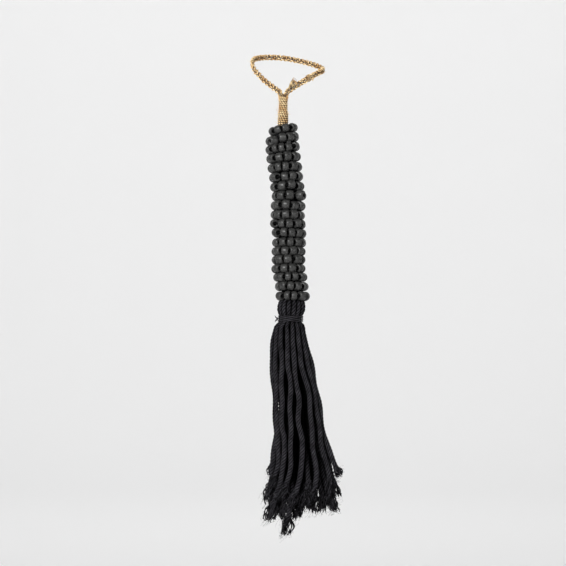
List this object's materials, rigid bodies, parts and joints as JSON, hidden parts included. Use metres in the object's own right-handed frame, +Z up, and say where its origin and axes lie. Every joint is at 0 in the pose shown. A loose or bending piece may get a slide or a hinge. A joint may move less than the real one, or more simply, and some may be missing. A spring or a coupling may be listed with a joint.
{
  "type": "beaded tassel tieback",
  "caption": "Long curtain tieback tassel: a plaited jute loop and whipped neck, a column of strung black wooden beads, and a bound skirt of twisted cotton cords.",
  "frame": {"origin": "the middle of the gather that the plaited loop goes round, level with the loop's middle", "axes": "+Z up along the hanging tassel, -Y towards the viewer of the tassel's front, +X to that viewer's right"},
  "size_m": [0.0973, 0.0875, 0.5236],
  "materials": {
    "jute": "dry hairy plaited jute twine",
    "bead_wood": "black stain under a thin satin varnish",
    "cotton_cord": "matt black twisted cotton cord",
    "cotton_yarn": "matt black cotton yarn"
  },
  "bodies": {
    "root": {"loop_cord": "jute", "loop_knot": "jute", "loop_bight": "jute", "neck_whipping": "jute", "bead_ring_01": "bead_wood", "bead_ring_02": "bead_wood", "bead_ring_03": "bead_wood", "bead_ring_04": "bead_wood", "bead_ring_05": "bead_wood", "bead_ring_06": "bead_wood", "bead_ring_07": "bead_wood", "bead_ring_08": "bead_wood", "bead_ring_09": "bead_wood", "bead_ring_10": "bead_wood", "bead_ring_11": "bead_wood", "bead_ring_12": "bead_wood", "bead_ring_13": "bead_wood", "bead_ring_14": "bead_wood", "bead_ring_15": "bead_wood", "bead_ring_16": "bead_wood", "bead_ring_17": "bead_wood", "bead_ring_18": "bead_wood", "bead_ring_19": "bead_wood", "tassel_cords": "cotton_cord", "binding": "cotton_yarn"}
  },
  "joints": []
}
